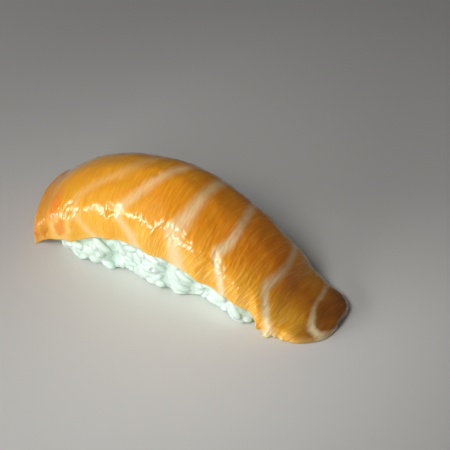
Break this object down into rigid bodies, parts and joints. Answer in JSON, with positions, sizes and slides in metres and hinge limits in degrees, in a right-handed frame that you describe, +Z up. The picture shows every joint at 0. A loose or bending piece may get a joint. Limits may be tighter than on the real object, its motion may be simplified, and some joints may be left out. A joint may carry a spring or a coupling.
{
  "type": "salmon nigiri",
  "caption": "Piece of nigiri sushi: a slice of raw salmon with pale fat stripes draped over a hand-pressed bed of white rice, standing on the rice's flat base.",
  "frame": {"origin": "on the ground, under the middle of the bounding box", "axes": "+X along the piece towards the slice's flared end, +Y across it away from the side the picture shows, +Z up"},
  "size_m": [0.0852, 0.0258, 0.0295],
  "materials": {
    "raw_salmon": "wet, soft raw fish with a glossy surface",
    "sushi_rice": "moist cooked short-grain rice with a slight sheen"
  },
  "bodies": {
    "root": {"salmon": "raw_salmon", "rice": "sushi_rice"}
  },
  "joints": []
}
